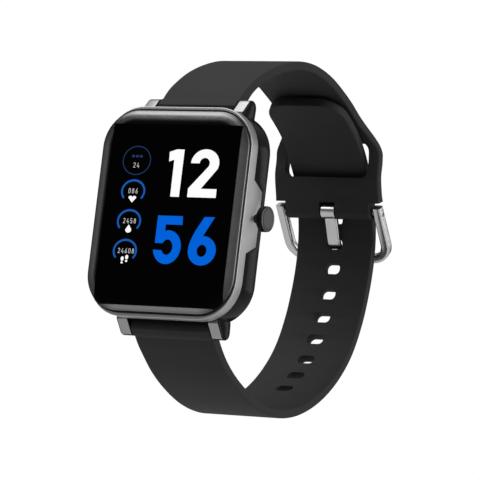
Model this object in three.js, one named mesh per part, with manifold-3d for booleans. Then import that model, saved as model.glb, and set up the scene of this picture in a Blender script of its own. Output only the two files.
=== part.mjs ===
// A smartwatch with its silicone band fastened into a loop.
//
// Millimetres. +Z points to the 12 o'clock end, -Y is the way the display faces and +X is the crown
// side. The origin is the middle of the rear face of the case, the face that lies on the wrist.

import * as THREE from "three";
import { mergeVertices } from "three/addons/utils/BufferGeometryUtils.js";
import Module from "manifold-3d";

const wasm = await Module();
wasm.setup();

// ---------------------------------------------------------------- driving dimensions

const CASE_WIDTH = 37.2;
const CASE_HEIGHT = 46.4;
const CASE_CORNER = 9.0;
const GLASS_WIDTH = 37.0;
const GLASS_HEIGHT = 44.2;
const GLASS_CORNER = 8.2;
const WALL = 1.8;                  // side wall of the case
const FIT = 0.1;                   // gap between pieces that don't move against each other
const CLEARANCE = 0.3;             // gap between pieces that do

// Depth planes of the case, front to back.
const GLASS_FRONT = -11.2;
const GLASS_BACK = -10.15;
const FRAME_FRONT = -9.8;
const CASE_SPLIT = -6.8;           // the bright frame ends here and the dark case begins
const CASE_BACK = -0.3;
const COVER_FRONT = -1.7;
const COVER_BACK = -0.6;
const ISLAND_BACK = -0.15;         // raised middle of the back cover
const WRIST_FACE = 0;

const GLASS_CURVE = 2.6;           // width of the rounded border of the glass
const PANEL_WIDTH = 29.6;
const PANEL_HEIGHT = 36.6;

// Crown.
const CROWN_Y = -4.3;
const CROWN_RADIUS = 2.8;
const CROWN_THICK = 2.2;
const CROWN_FACE = 21.65;
const CROWN_BORE = 1.45;           // in the lower case, around the seal
const STEM_HOLE = 1.0;             // in the frame
const STEM_RADIUS = 0.7;
const GUARD_BACK = -3.0;           // the frame reaches this far back around the crown
const GUARD_HALF = 6.0;            // half the length of that part at its back edge
const GUARD_SLOPE = 2.0;
const GUARD_SKIN = 0.8;            // thickness of that part, which lies over the lower case

// Band.
const BAND_WIDTH = 20.0;
const BAND_THICK = 2.1;
const LUG_INNER = BAND_WIDTH / 2 + 0.2;
const LUG_WIDTH = 2.9;
const LUG_RADIUS = 1.75;
const STRAP_WALL = 22.2;           // the case is cut back to this z behind its rim, for the straps
const STRAP_RIM = -4.4;
const BAR_Y = -1.9;                // spring bars, at +BAR_Z and -BAR_Z
const BAR_Z = 24.6;
const BAR_RADIUS = 0.95;
const BAR_BORE = 0.7;
const TIP_RADIUS = 0.42;
const ROOT_RADIUS = 1.95;          // thick end of a strap around its spring bar
const LEVER_X = 7.4;
const LEVER_TRAVEL = 1.5;

// Strap end and clasp.
const FLARE_WIDTH = 27.6;
const END_WIDTH = 22.6;
const SLOT_WIDTH = 22.0;
const SLOT_BOTTOM = 20.4;
const SLOT_TOP = 28.6;
const HINGE = [60.5, 13.0];        // buckle pin, as (y, z)
const HINGE_RADIUS = 0.75;
const BUCKLE_WIDTH = 28.0;
const BUCKLE_ARM = 2.3;
const BUCKLE_BAR = 2.1;
const BUCKLE_THICK = 2.0;
const BUCKLE_CORNER = 5.2;
const BUCKLE_BEND = 3.0;           // radius of the corners inside the frame
const BUCKLE_REACH = 13.3;         // pin to the far edge of the crossbar
const BUCKLE_LEAN = 39.5;          // degrees from straight down, away from the wrist
const TONGUE_WIDTH = 3.2;
const HOLE_PITCH = 6.1;
const HOLE_WIDTH = 4.2;
const HOLE_HEIGHT = 2.5;
const HOLES_ABOVE = 1;             // holes past the one that the tongue is in
const HOLES_BELOW = 7;

// Middle lines of the two straps, as (y, z), from the spring bar round to the free end.
const SHORT_LINE = [
  [BAR_Y, BAR_Z], [1, 28.6], [6, 32.7], [13, 36.4], [20.5, 39], [28, 40], [35.6, 39.3], [42.6, 37.2],
  [48.7, 34.6], [53.5, 31.7], [56.4, 28], [57.3, 24.4], [57.4, 21], [58.7, 17], HINGE,
];
const LONG_LINE = [
  [BAR_Y, -BAR_Z], [1.2, -27.9], [6.7, -32.1], [13.3, -35.3], [20.7, -37.5], [28.5, -38.2], [36.1, -37.2],
  [43.2, -34.7], [49.5, -31.1], [55.2, -26.3], [59.9, -20.3], [63.1, -12.9], [64.9, -5], [65.5, 1.5],
  [65.2, 7], [64, 12.2], [62.4, 16.5], [60.5, 20], [57.7, 23.4], [55.1, 26.3], [51.6, 29.3],
  [47.2, 31.9], [42, 34.3], [40.2, 34.9],
];

// ---------------------------------------------------------------- solids

function solid(geometry) {
  const bare = geometry.clone();
  bare.deleteAttribute("normal");
  bare.deleteAttribute("uv");
  const merged = mergeVertices(bare, 1e-4);
  const index = merged.index.array;
  const triangles = [];
  for (let i = 0; i < index.length; i += 3) {
    const [a, b, c] = [index[i], index[i + 1], index[i + 2]];
    if (a !== b && b !== c && c !== a) triangles.push(a, b, c);
  }
  return new wasm.Manifold(new wasm.Mesh({
    numProp: 3,
    vertProperties: new Float32Array(merged.attributes.position.array),
    triVerts: new Uint32Array(triangles),
  }));
}

const join = (first, ...others) => others.reduce((whole, part) => whole.add(part), first);
const cut = (first, ...others) => others.reduce((whole, part) => whole.subtract(part), first);
const common = (first, second) => first.intersect(second);

// An outline with its corners rounded, centred on (x, y).
function roundedRect(width, height, radius, x = 0, y = 0) {
  const [w, h] = [width / 2, height / 2];
  const shape = new THREE.Shape();
  shape.moveTo(x + w, y - h + radius);
  shape.lineTo(x + w, y + h - radius);
  shape.absarc(x + w - radius, y + h - radius, radius, 0, Math.PI / 2);
  shape.lineTo(x - w + radius, y + h);
  shape.absarc(x - w + radius, y + h - radius, radius, Math.PI / 2, Math.PI);
  shape.lineTo(x - w, y - h + radius);
  shape.absarc(x - w + radius, y - h + radius, radius, Math.PI, Math.PI * 1.5);
  shape.lineTo(x + w - radius, y - h);
  shape.absarc(x + w - radius, y - h + radius, radius, Math.PI * 1.5, Math.PI * 2);
  return shape;
}

// An outline extruded from 0 to depth along its own z, its edges eased without growing.
function extruded(shape, depth, ease = 0, curveSegments = 4) {
  return new THREE.ExtrudeGeometry(shape, {
    depth: depth - 2 * ease,
    curveSegments,
    bevelEnabled: ease > 0,
    bevelThickness: ease,
    bevelSize: ease,
    bevelOffset: -ease,
    bevelSegments: 1,
  }).translate(0, 0, ease);
}

// An (x, z) outline made into a plate between two depth planes.
function plate(shape, front, back, ease = 0, curveSegments = 4) {
  return solid(extruded(shape, back - front, ease, curveSegments).rotateX(Math.PI / 2)
    .translate(0, back, 0));
}

// A (y, z) outline made into a bar between two x planes.
function bar(shape, left, right, ease = 0, curveSegments = 4) {
  const axes = new THREE.Matrix4().makeBasis(
    new THREE.Vector3(0, 1, 0), new THREE.Vector3(0, 0, 1), new THREE.Vector3(1, 0, 0));
  return solid(extruded(shape, right - left, ease, curveSegments).applyMatrix4(axes)
    .translate(left, 0, 0));
}

// An (x, y) outline made into a block between two z planes.
const block = (shape, low, high) => solid(extruded(shape, high - low).translate(0, 0, low));

function box(x0, x1, y0, y1, z0, z1) {
  return solid(new THREE.BoxGeometry(x1 - x0, y1 - y0, z1 - z0)
    .translate((x0 + x1) / 2, (y0 + y1) / 2, (z0 + z1) / 2));
}

function pinX(radius, x0, x1, y, z, sides = 16) {
  return solid(new THREE.CylinderGeometry(radius, radius, x1 - x0, sides).rotateZ(-Math.PI / 2)
    .translate((x0 + x1) / 2, y, z));
}

function pinY(radius, y0, y1, x, z, sides = 16) {
  return solid(new THREE.CylinderGeometry(radius, radius, y1 - y0, sides)
    .translate(x, (y0 + y1) / 2, z));
}

function ringX(section, y, z, sides = 16) {
  const points = section.map(([radius, x]) => new THREE.Vector2(radius, x));
  return solid(new THREE.LatheGeometry([...points, points[0]], sides).rotateZ(-Math.PI / 2)
    .translate(0, y, z));
}

const polygon = (points) => new THREE.Shape(points.map(([a, b]) => new THREE.Vector2(a, b)));

// ---------------------------------------------------------------- nodes

const watch = new THREE.Group();
watch.name = "smartwatch";

const LOOK = {
  glass: { color: 0x050506, roughness: 0.06, metalness: 0 },
  rubber: { color: 0x0c0c0d, roughness: 0.8, metalness: 0 },
  gunmetal: { color: 0x8a8b8e, roughness: 0.3, metalness: 0.9 },
  darkCase: { color: 0x1c1d1f, roughness: 0.2, metalness: 0.6 },
  plastic: { color: 0x141415, roughness: 0.45, metalness: 0 },
  crown: { color: 0x5c5d60, roughness: 0.35, metalness: 0.8 },
  steel: { color: 0xc2c3c5, roughness: 0.28, metalness: 1 },
  silicone: { color: 0x2e2f31, roughness: 0.6, metalness: 0 },
  board: { color: 0x0d3a24, roughness: 0.5, metalness: 0.1 },
  gold: { color: 0xc9a552, roughness: 0.3, metalness: 1 },
  chip: { color: 0x17181a, roughness: 0.5, metalness: 0 },
  foil: { color: 0x9fa3a8, roughness: 0.4, metalness: 0.7 },
  flex: { color: 0xa8641f, roughness: 0.45, metalness: 0.1 },
  panel: { color: 0x0a0c12, roughness: 0.2, metalness: 0 },
  diffuser: { color: 0xdedfe2, roughness: 0.5, metalness: 0 },
};

function add(name, manifold, look) {
  const mesh = manifold.getMesh();
  const geometry = new THREE.BufferGeometry();
  geometry.setAttribute("position", new THREE.BufferAttribute(mesh.vertProperties, 3));
  geometry.setIndex(new THREE.BufferAttribute(mesh.triVerts, 1));
  geometry.computeVertexNormals();
  const node = new THREE.Mesh(geometry, new THREE.MeshStandardMaterial(LOOK[look]));
  node.name = name;
  watch.add(node);
}

// ---------------------------------------------------------------- display stack

// The glass border is a quarter ellipse: the extrusion rounds both edges and the back half goes.
function coverGlass() {
  const thick = GLASS_BACK - GLASS_FRONT;
  const curve = thick - 0.15;
  const shape = roundedRect(GLASS_WIDTH, GLASS_HEIGHT, GLASS_CORNER);
  const lens = new THREE.ExtrudeGeometry(shape, {
    depth: 1,
    curveSegments: 7,
    bevelThickness: curve,
    bevelSize: GLASS_CURVE,
    bevelOffset: -GLASS_CURVE,
    bevelSegments: 4,
  }).rotateX(Math.PI / 2).translate(0, GLASS_FRONT + curve + 1, 0);
  return common(solid(lens), box(-25, 25, GLASS_FRONT - 1, GLASS_BACK, -30, 30));
}

function flatRing(width, height, radius, rim, front, back) {
  return cut(
    plate(roundedRect(width, height, radius), front, back),
    plate(roundedRect(width - 2 * rim, height - 2 * rim, radius - rim), front - 1, back + 1));
}

const GASKET_RIM = 2.9;
add("cover_glass", coverGlass(), "glass");
add("glass_gasket",
  flatRing(GLASS_WIDTH, GLASS_HEIGHT + 0.8, GLASS_CORNER + 0.3, GASKET_RIM, GLASS_BACK + 0.02,
    FRAME_FRONT - 0.02), "rubber");
add("touch_sensor", plate(roundedRect(30.4, 37.8, 5), GLASS_BACK + 0.02, -9.8), "panel");
add("display_panel", plate(roundedRect(PANEL_WIDTH, PANEL_HEIGHT, 4.5), -9.66, -8.86), "panel");
add("backlight_unit", plate(roundedRect(PANEL_WIDTH, PANEL_HEIGHT, 4.5), -8.8, -8.1), "diffuser");

// The ribbon that folds round the lower edge of the panel to the main board.
function displayFlex() {
  const route = polygon([
    [-9.4, -18.4], [-9.4, -19.35], [-7.0, -19.35], [-7.0, -19.1], [-9.15, -19.1], [-9.15, -18.4]]);
  return bar(route, -3.5, 3.5);
}
add("display_flex", displayFlex(), "flex");

// ---------------------------------------------------------------- case

const INNER_WIDTH = CASE_WIDTH - 2 * WALL - 0.4;
const INNER_HEIGHT = 40.6;
const INNER_CORNER = 6.4;

// Outline, in (z, y), of the part of the frame that reaches back around the crown.
function crownGuard(grow, left, right) {
  const back = GUARD_BACK + grow;
  const half = GUARD_HALF + grow;
  const wide = half + GUARD_SLOPE;
  const shape = polygon([
    [CASE_SPLIT - 1, wide], [CASE_SPLIT - 0.05, wide], [back, half], [back, -half],
    [CASE_SPLIT - 0.05, -wide], [CASE_SPLIT - 1, -wide]]);
  return bar(shape, left, right);
}

function bezelFrame() {
  const ring = cut(
    plate(roundedRect(CASE_WIDTH, CASE_HEIGHT, CASE_CORNER), FRAME_FRONT, CASE_SPLIT - 0.05, 0, 8),
    plate(roundedRect(INNER_WIDTH, INNER_HEIGHT, INNER_CORNER), FRAME_FRONT - 1, CASE_SPLIT + 1));
  const guard = crownGuard(0, CASE_WIDTH / 2 - GUARD_SKIN, CASE_WIDTH / 2);
  return cut(join(ring, guard), pinX(STEM_HOLE, 15, CASE_WIDTH / 2 + 2, CROWN_Y, 0));
}

// Side view of a lug at the top end: a sloping front, a round end and a straight back.
function lugShape(end) {
  const turn = (degrees) => THREE.MathUtils.degToRad(degrees);
  const points = [[-5.4, 21], [-5.4, 23.2]];
  for (let angle = 145; angle >= 0; angle -= 14.5) {
    points.push([
      BAR_Y + LUG_RADIUS * Math.cos(turn(angle)), BAR_Z + LUG_RADIUS * Math.sin(turn(angle))]);
  }
  points.push([-0.3, 22.4], [-0.9, 21]);
  return polygon(points.map(([y, z]) => [y, end * z]));
}

function lug(side, end) {
  const inner = side * LUG_INNER;
  const outer = side * (LUG_INNER + LUG_WIDTH);
  const body = bar(lugShape(end), Math.min(inner, outer), Math.max(inner, outer), 0.25);
  const hole = side * (LUG_INNER + 1.8);
  const start = side * (LUG_INNER - 1);
  return cut(body, pinX(0.75, Math.min(start, hole), Math.max(start, hole), BAR_Y, end * BAR_Z, 16));
}

const CORNERS = [[1, 1], [-1, 1], [-1, -1], [1, -1]];
const SCREW_X = 13.3;
const SCREW_Z = 16.9;
const LEDGE_BACK = -2.0;           // the back cover's seal sits on this ledge

function lowerCase() {
  let body = cut(
    plate(roundedRect(CASE_WIDTH - 0.2, CASE_HEIGHT - 0.2, CASE_CORNER - 0.1), CASE_SPLIT, CASE_BACK,
      0.5, 8),
    plate(roundedRect(INNER_WIDTH, INNER_HEIGHT, INNER_CORNER), CASE_SPLIT - 1, CASE_BACK + 1));
  const ledge = cut(
    plate(roundedRect(INNER_WIDTH + 0.6, INNER_HEIGHT + 0.6, INNER_CORNER + 0.3), -2.8, LEDGE_BACK),
    plate(roundedRect(INNER_WIDTH - 2.6, INNER_HEIGHT - 2.6, INNER_CORNER - 1.3), -4, 0));
  body = join(body, ledge);
  for (const [sx, sz] of CORNERS) {
    const [x, z] = [sx * SCREW_X, sz * SCREW_Z];
    body = cut(join(body, pinY(2.6, -5.8, LEDGE_BACK, x, z)), pinY(0.9, -5.2, 1, x, z, 10));
  }
  for (const end of [-1, 1]) {
    const [near, far] = [end * STRAP_WALL, end * (STRAP_WALL + 3)];
    body = cut(body, box(-LUG_INNER, LUG_INNER, STRAP_RIM, 1, Math.min(near, far), Math.max(near, far)));
  }
  for (const [sx, sz] of CORNERS) body = join(body, lug(sx, sz));
  return cut(body,
    crownGuard(FIT, CASE_WIDTH / 2 - GUARD_SKIN - FIT, CASE_WIDTH / 2 + 1),
    pinX(CROWN_BORE, 15, CASE_WIDTH / 2 + 2, CROWN_Y, 0, 28),
    pinX(1.9, 15, INNER_WIDTH / 2, CROWN_Y, 0));
}

function backCover() {
  let cover = join(
    plate(roundedRect(INNER_WIDTH - 0.4, INNER_HEIGHT - 0.4, INNER_CORNER - 0.2), COVER_FRONT, COVER_BACK),
    plate(roundedRect(25, 31, 6), COVER_FRONT, ISLAND_BACK, 0.3));
  cover = cut(cover, pinY(7.2, -3, 1, 0, 0, 32));
  for (const side of [-1, 1]) cover = cut(cover, pinY(1.1, -3, 1, side * CONTACT_X, CONTACT_Z));
  for (const [sx, sz] of CORNERS) {
    const [x, z] = [sx * SCREW_X, sz * SCREW_Z];
    cover = cut(cover, pinY(0.85, -3, 1, x, z, 10), pinY(1.6, -1.2, 1, x, z));
  }
  return cover;
}

const CONTACT_X = 3;
const CONTACT_Z = -11.4;

add("bezel_frame", bezelFrame(), "gunmetal");
add("lower_case", lowerCase(), "darkCase");
add("back_cover", backCover(), "plastic");
add("back_seal",
  flatRing(INNER_WIDTH - 0.6, INNER_HEIGHT - 0.6, INNER_CORNER - 0.3, 1, LEDGE_BACK + 0.02,
    COVER_FRONT - 0.02), "rubber");

// Domed glass window over the pulse sensor, held by a lip inside the cover.
add("sensor_window",
  join(pinY(7.0, -1.95, WRIST_FACE, 0, 0, 32), pinY(8.2, -1.95, COVER_FRONT - 0.02, 0, 0, 32)), "glass");

CORNERS.forEach(([sx, sz], i) => {
  const [x, z] = [sx * SCREW_X, sz * SCREW_Z];
  const slot = box(x - 0.8, x + 0.8, -0.9, 0, z - 0.15, z + 0.15);
  add(`case_screw_${i + 1}`,
    cut(join(pinY(1.3, -1.18, -0.65, x, z, 16), pinY(0.6, -4.6, -1.1, x, z, 12)), slot), "steel");
});

// ---------------------------------------------------------------- inside the case

add("inner_chassis", cut(
  plate(roundedRect(INNER_WIDTH - 0.8, INNER_HEIGHT - 0.8, INNER_CORNER - 0.4), -8.04, -7.1),
  box(-4.2, 4.2, -9, -6, -22, -18.8),
  box(-7, 7, -9, -6, -6, 8)), "plastic");
add("main_board",
  plate(roundedRect(INNER_WIDTH - 1.4, INNER_HEIGHT - 1.4, INNER_CORNER - 0.7), -6.95, -6.2), "board");
add("processor", box(-6, 2, -6.15, -5.1, 6, 14), "chip");
add("shield_can",
  cut(box(-9, 5, -6.15, -4.4, 3, 17.5), box(-8.7, 4.7, -7, -4.7, 3.3, 17.2)), "foil");
add("battery", plate(roundedRect(20.4, 17.4, 1.5, 0, -10), -5.9, -3.55, 0.3), "foil");
add("vibration_motor", pinY(4.0, -6.15, -3.6, 9.6, 10.4, 28), "steel");
add("tact_switch",
  join(box(10.9, 13, -6.15, -3.5, -2.4, 2.4), pinX(0.6, 12.9, 13.4, CROWN_Y, 0, 12)), "chip");
add("sensor_board", plate(roundedRect(16.4, 16.4, 2), -3.2, -2.62), "board");
add("optical_sensor", box(-2.6, 2.6, -2.58, -2.02, -2.2, 2.2), "chip");
for (const [side, name] of [[-1, "left"], [1, "right"]]) {
  const x = side * CONTACT_X;
  add(`charge_contact_${name}`,
    join(pinY(0.95, -1.97, -0.1, x, CONTACT_Z), pinY(1.5, -1.97, COVER_FRONT - 0.02, x, CONTACT_Z),
      pinY(0.4, -2.6, -1.9, x, CONTACT_Z, 12)), "gold");
  add(`charge_magnet_${name}`, pinY(2.0, -3.0, COVER_FRONT - 0.05, side * 8.4, CONTACT_Z, 24), "steel");
}

// ---------------------------------------------------------------- crown

// A knurled button on a stem, turned about x.
function crownKnob() {
  const rim = new THREE.Shape();
  const teeth = 24;
  for (let i = 0; i < teeth * 2; i += 1) {
    const angle = (i / (teeth * 2)) * Math.PI * 2;
    const radius = CROWN_RADIUS - (i % 2) * 0.14;
    const [y, z] = [CROWN_Y + radius * Math.cos(angle), radius * Math.sin(angle)];
    if (i === 0) rim.moveTo(y, z);
    else rim.lineTo(y, z);
  }
  rim.closePath();
  return join(
    bar(rim, CROWN_FACE - CROWN_THICK, CROWN_FACE, 0.25),
    pinX(STEM_RADIUS, 14.7, CROWN_FACE - 0.5, CROWN_Y, 0, 16));
}
add("crown_knob", crownKnob(), "crown");
add("crown_seal", ringX([[0.82, 17.2], [1.1, 16.95], [1.38, 17.2], [1.38, 17.5], [1.1, 17.75],
  [0.82, 17.5]], CROWN_Y, 0), "rubber");
add("crown_clip", ringX([[0.85, 15.9], [1.7, 15.9], [1.7, 16.25], [0.85, 16.25]], CROWN_Y, 0), "steel");
add("switch_plunger", pinX(0.8, 13.95, 14.6, CROWN_Y, 0, 16), "plastic");

// ---------------------------------------------------------------- spring bars

// The lever of each bar points at the wrist, square to the way that its strap leaves the lugs.
const LEVER_ANGLE = 40;            // degrees behind and towards the middle of the case

// A tube with a fixed tip at -x; at +x a sprung tip slides in it and is drawn back by the lever.
function barTube(end) {
  const z = end * BAR_Z;
  const shell = cut(pinX(BAR_RADIUS, -9.4, 9.4, BAR_Y, z), pinX(BAR_BORE, -2.4, 10, BAR_Y, z));
  const tip = pinX(TIP_RADIUS, -11.5, -9.3, BAR_Y, z, 12);
  return cut(join(shell, tip), leverSlot(end));
}

function towardsWrist(manifold, end) {
  return manifold.rotate([-end * LEVER_ANGLE, 0, 0]).translate([0, BAR_Y, end * BAR_Z]);
}

function leverSlot(end) {
  const x = LEVER_X - LEVER_TRAVEL;
  return towardsWrist(box(x - 0.8, LEVER_X + 0.8, 0.3, 4, -0.72, 0.72), end);
}

function releaseTip(end) {
  const lever = join(
    pinY(0.4, 0, 2.1, LEVER_X, 0, 12),
    pinY(0.62, 1.9, 2.5, LEVER_X, 0, 16));
  return join(pinX(TIP_RADIUS, 5.6, 11.5, BAR_Y, end * BAR_Z, 12), towardsWrist(lever, end));
}

function barSpring(end) {
  class Coil extends THREE.Curve {
    getPoint(t, target = new THREE.Vector3()) {
      const angle = t * Math.PI * 2 * COIL_TURNS;
      return target.set(
        THREE.MathUtils.lerp(-2.15, 5.3, t),
        BAR_Y + COIL_RADIUS * Math.cos(angle),
        end * BAR_Z + COIL_RADIUS * Math.sin(angle));
    }
  }
  const wire = new THREE.Shape().absarc(0, 0, 0.11, 0, Math.PI * 2);
  return solid(new THREE.ExtrudeGeometry(wire, {
    steps: COIL_TURNS * 7, curveSegments: 3, bevelEnabled: false, extrudePath: new Coil(),
  }));
}
const COIL_TURNS = 5;
const COIL_RADIUS = 0.45;

for (const [end, name] of [[1, "top"], [-1, "bottom"]]) {
  add(`${name}_spring_bar`, barTube(end), "steel");
  add(`${name}_release_tip`, releaseTip(end), "steel");
  add(`${name}_bar_spring`, barSpring(end), "steel");
}

// ---------------------------------------------------------------- straps

function lineCurve(points) {
  return new THREE.CatmullRomCurve3(points.map(([y, z]) => new THREE.Vector3(0, y, z)), false, "centripetal");
}

// The side outline of a strap: its middle line, given a thickness that can change along it.
function strapOutline(curve, steps, thickness) {
  const wristSide = [];
  const outside = [];
  for (let i = 0; i <= steps; i += 1) {
    const u = i / steps;
    const point = curve.getPointAt(u);
    const along = curve.getTangentAt(u);
    const half = thickness(u) / 2;
    wristSide.push([point.y + along.z * half, point.z - along.y * half]);
    outside.push([point.y - along.z * half, point.z + along.y * half]);
  }
  return polygon([...wristSide, ...outside.reverse()]);
}

// Thicker at the spring bar, easing down to the plain thickness.
const rootTaper = (u) => BAND_THICK + (2.9 - BAND_THICK) * Math.max(0, 1 - u / 0.08);

function strapRoot(end) {
  return bar(new THREE.Shape().absarc(BAR_Y, end * BAR_Z, ROOT_RADIUS, 0, Math.PI * 2),
    -BAND_WIDTH / 2, BAND_WIDTH / 2, 0.3, 9);
}

function boredForBar(strap, end) {
  const bore = pinX(BAR_RADIUS + CLEARANCE, -BAND_WIDTH, BAND_WIDTH, BAR_Y, end * BAR_Z);
  return cut(strap, bore, leverSlot(end));
}

// The short strap widens to a panel that carries the buckle and has a slot for the tail.
function shortStrap() {
  const curve = lineCurve(SHORT_LINE);
  const outline = strapOutline(curve, 40, rootTaper);
  const narrow = bar(outline, -BAND_WIDTH / 2, BAND_WIDTH / 2, 0.35);
  const wide = bar(outline, -FLARE_WIDTH / 2, FLARE_WIDTH / 2, 0.35);
  const [b, f, e] = [BAND_WIDTH / 2, FLARE_WIDTH / 2, END_WIDTH / 2];
  const plan = new THREE.Shape();
  plan.moveTo(b - 0.4, 35);
  plan.bezierCurveTo(b - 0.2, 31, f, 31, f, 26.5);
  plan.lineTo(f, 15.4);
  plan.lineTo(e, 15.4);
  plan.lineTo(e, 8);
  plan.lineTo(-e, 8);
  plan.lineTo(-e, 15.4);
  plan.lineTo(-f, 15.4);
  plan.lineTo(-f, 26.5);
  plan.bezierCurveTo(-f, 31, -b + 0.2, 31, -b + 0.4, 35);
  const panel = common(wide, plate(plan, 45, 70));
  const front = common(narrow, box(-15, 15, -10, 70, 32.5, 50));
  const rise = common(narrow, box(-15, 15, -10, 20, 20, 33));
  const [hingeY, hingeZ] = HINGE;
  const barrel = pinX(1.75, -END_WIDTH / 2, END_WIDTH / 2, hingeY, hingeZ, 24);
  const slot = plate(
    roundedRect(SLOT_WIDTH, SLOT_TOP - SLOT_BOTTOM, 2, 0, (SLOT_TOP + SLOT_BOTTOM) / 2), 50, 64);
  return cut(
    boredForBar(join(panel, front, rise, strapRoot(1), barrel), 1),
    slot,
    pinX(HINGE_RADIUS + CLEARANCE, -20, 20, hingeY, hingeZ),
    box(-TONGUE_NOTCH, TONGUE_NOTCH, 56, 66, 10, 15));
}
const TONGUE_NOTCH = 2.1;

// Where hole number k lies on the long strap, counted from the one that the tongue is in.
const TONGUE_HOLE = [65.3, 6.1];

function holeCutters(curve) {
  const length = curve.getLength();
  let start = 0;
  let nearest = Infinity;
  for (let i = 0; i <= 2000; i += 1) {
    const point = curve.getPointAt(i / 2000);
    const distance = Math.hypot(point.y - TONGUE_HOLE[0], point.z - TONGUE_HOLE[1]);
    if (distance < nearest) [nearest, start] = [distance, (i / 2000) * length];
  }
  const cutters = [];
  for (let k = -HOLES_ABOVE; k <= HOLES_BELOW; k += 1) {
    const u = (start - k * HOLE_PITCH) / length;
    const point = curve.getPointAt(u);
    const along = curve.getTangentAt(u);
    const across = new THREE.Vector3(1, 0, 0);
    const normal = new THREE.Vector3().crossVectors(across, along);
    const place = new THREE.Matrix4().makeBasis(across, along, normal).setPosition(point);
    const shape = roundedRect(HOLE_WIDTH, HOLE_HEIGHT, HOLE_HEIGHT / 2 - 0.01);
    cutters.push(solid(extruded(shape, 6, 0, 3).translate(0, 0, -3).applyMatrix4(place)));
  }
  return cutters;
}

// What is cut off each corner of the tail to round it.
function tailCorner(side) {
  const tip = LONG_LINE.at(-1)[0];
  const radius = 6;
  const x = BAND_WIDTH / 2;
  const shape = new THREE.Shape();
  shape.moveTo(side * (x + 1), tip - 1);
  shape.lineTo(side * (x + 1), tip + radius);
  shape.lineTo(side * x, tip + radius);
  for (let i = 1; i <= 7; i += 1) {
    const angle = (i / 7) * Math.PI / 2;
    shape.lineTo(
      side * (x - radius + radius * Math.cos(angle)), tip + radius - radius * Math.sin(angle));
  }
  shape.lineTo(side * (x - radius), tip - 1);
  return block(shape, 30, 38);
}

function longStrap() {
  const curve = lineCurve(LONG_LINE);
  const strap = bar(strapOutline(curve, 52, rootTaper), -BAND_WIDTH / 2, BAND_WIDTH / 2, 0.35);
  return cut(boredForBar(join(strap, strapRoot(-1)), -1), ...holeCutters(curve),
    tailCorner(1), tailCorner(-1));
}

add("short_strap", shortStrap(), "silicone");
add("long_strap", longStrap(), "silicone");

// ---------------------------------------------------------------- clasp

// Turns a piece drawn with the pin at the origin and the crossbar along -z to its place.
function onHinge(manifold) {
  return manifold.rotate([BUCKLE_LEAN, 0, 0]).translate([0, HINGE[0], HINGE[1]]);
}

function buckleFrame() {
  const [w, t] = [BUCKLE_WIDTH / 2, BUCKLE_ARM];
  const shape = new THREE.Shape();
  const low = BUCKLE_REACH;
  const end = -1.5;
  const [r, b, c] = [BUCKLE_CORNER, BUCKLE_BEND, BUCKLE_BAR];
  shape.moveTo(w, end);
  shape.lineTo(w, low - r);
  shape.absarc(w - r, low - r, r, 0, Math.PI / 2);
  shape.lineTo(-w + r, low);
  shape.absarc(-w + r, low - r, r, Math.PI / 2, Math.PI);
  shape.lineTo(-w, end);
  shape.lineTo(-w + t, end);
  shape.lineTo(-w + t, low - c - b);
  shape.absarc(-w + t + b, low - c - b, b, Math.PI, Math.PI / 2, true);
  shape.lineTo(w - t - b, low - c);
  shape.absarc(w - t - b, low - c - b, b, Math.PI / 2, 0, true);
  shape.lineTo(w - t, end);
  const frame = plate(shape, -BUCKLE_THICK / 2, BUCKLE_THICK / 2, 0.35, 6).rotate([180, 0, 0]);
  return onHinge(cut(frame, pinX(HINGE_RADIUS + FIT, -20, 20, 0, 0)));
}

// A rolled barrel on the pin, a flat shank, and a bent tip that goes through the hole.
function buckleTongue() {
  const [y, z] = HINGE;
  const half = 0.55;
  const middle = [[60.8, 12.0], [62.6, 7.5], [63.9, 6.6], [69.9, 5.5]];
  const near = [];
  const far = [];
  middle.forEach(([my, mz], i) => {
    const before = middle[Math.max(0, i - 1)];
    const after = middle[Math.min(middle.length - 1, i + 1)];
    const along = new THREE.Vector2(after[0] - before[0], after[1] - before[1]).normalize();
    near.push([my + along.y * half, mz - along.x * half]);
    far.push([my - along.y * half, mz + along.x * half]);
  });
  const shank = bar(polygon([...near, ...far.reverse()]), -TONGUE_WIDTH / 2, TONGUE_WIDTH / 2, 0.2);
  const barrel = pinX(1.6, -1.78, 1.78, y, z);
  return cut(join(shank, barrel), pinX(HINGE_RADIUS + CLEARANCE, -3, 3, y, z));
}

add("buckle_frame", buckleFrame(), "steel");
add("buckle_pin", pinX(HINGE_RADIUS, -13.7, 13.7, HINGE[0], HINGE[1], 16), "steel");
add("buckle_tongue", buckleTongue(), "steel");

export default watch;
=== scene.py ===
from math import atan2, cos, hypot, pi, radians, sin, sqrt

import bmesh
import bpy
from mathutils import Matrix, Vector


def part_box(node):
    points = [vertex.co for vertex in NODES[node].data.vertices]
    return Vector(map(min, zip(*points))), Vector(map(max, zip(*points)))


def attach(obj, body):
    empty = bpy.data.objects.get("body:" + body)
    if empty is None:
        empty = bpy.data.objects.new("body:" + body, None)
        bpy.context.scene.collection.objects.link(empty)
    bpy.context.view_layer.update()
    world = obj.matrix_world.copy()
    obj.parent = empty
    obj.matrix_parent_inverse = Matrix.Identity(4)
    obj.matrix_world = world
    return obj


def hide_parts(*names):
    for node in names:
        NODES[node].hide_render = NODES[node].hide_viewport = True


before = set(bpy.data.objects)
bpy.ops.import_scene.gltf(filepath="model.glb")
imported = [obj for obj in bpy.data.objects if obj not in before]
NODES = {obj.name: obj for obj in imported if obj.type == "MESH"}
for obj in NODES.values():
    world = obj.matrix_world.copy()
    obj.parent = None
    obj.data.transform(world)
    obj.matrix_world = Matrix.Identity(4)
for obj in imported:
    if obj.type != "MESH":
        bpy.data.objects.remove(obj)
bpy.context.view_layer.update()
MM = 0.001
scene = bpy.context.scene

# ---------------------------------------------------------------- sizes, in millimetres


def node_box(name):
    low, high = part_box(name)
    return low / MM, high / MM


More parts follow.
